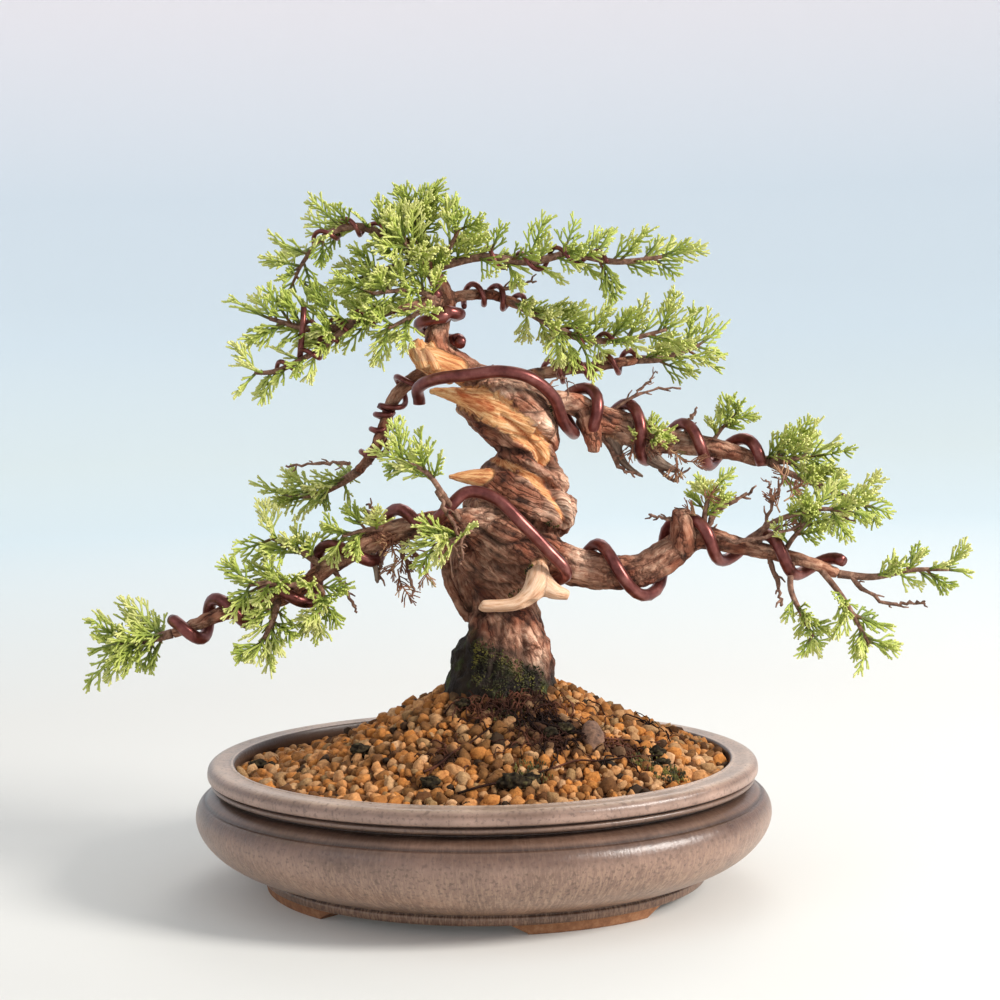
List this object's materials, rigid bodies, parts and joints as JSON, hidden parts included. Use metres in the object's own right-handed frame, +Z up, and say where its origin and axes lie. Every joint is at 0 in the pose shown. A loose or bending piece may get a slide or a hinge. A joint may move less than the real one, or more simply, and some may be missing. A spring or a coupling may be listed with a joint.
{
  "type": "bonsai tree in a pot",
  "caption": "Trained juniper with a rope-twisted trunk, bare deadwood and wired branches of scale-leaf foliage, rooted in clay grains in an oval glazed pot that stands on low feet.",
  "frame": {"origin": "middle of the overall extents in plan, on the plane that the pot's four feet stand on", "axes": "+X to the viewer's right, along the longest reach of the branches; -Y to the front that the picture shows; +Z up"},
  "size_m": [0.357, 0.2188, 0.2905],
  "materials": {
    "glaze": "matt to satin grey-brown glaze, worn light on the edges and dark in the grooves",
    "netting": "black drain netting",
    "grains": "rough fired clay grains, orange-brown to olive",
    "stone": "dull brown stone",
    "bark": "flaking red-brown bark, with bleached and orange bare wood",
    "wire": "copper-brown anodised, satin",
    "foliage": "living scale leaves, bright green with yellow-green tips"
  },
  "bodies": {
    "root": {"pot": "glaze", "drain_net_left": "netting", "drain_net_right": "netting", "soil": "grains", "stone": "stone", "trunk": "bark", "wire_low": "wire", "wire_high": "wire", "wire_leader": "wire", "wire_middle_right": "wire", "wire_upper_right": "wire", "wire_left_descending": "wire", "leaves_apex": "foliage", "leaves_top_left": "foliage", "leaves_top_right": "foliage", "leaves_left_upper": "foliage", "leaves_left_upper_low": "foliage", "leaves_left_descending": "foliage", "leaves_low_left_tip": "foliage", "leaves_low_left_up": "foliage", "leaves_low_left_front": "foliage", "leaves_low_left_down": "foliage", "leaves_trunk_sprout": "foliage", "leaves_trunk_front": "foliage", "leaves_upper_right": "foliage", "leaves_middle_right": "foliage", "leaves_high_right": "foliage", "leaves_high_right_low": "foliage", "leaves_low_right_tip": "foliage", "leaves_low_right_hanging": "foliage", "leaves_low_right_fall": "foliage", "leaves_low_right_rise": "foliage", "leaves_low_right_sprig": "foliage"}
  },
  "joints": []
}
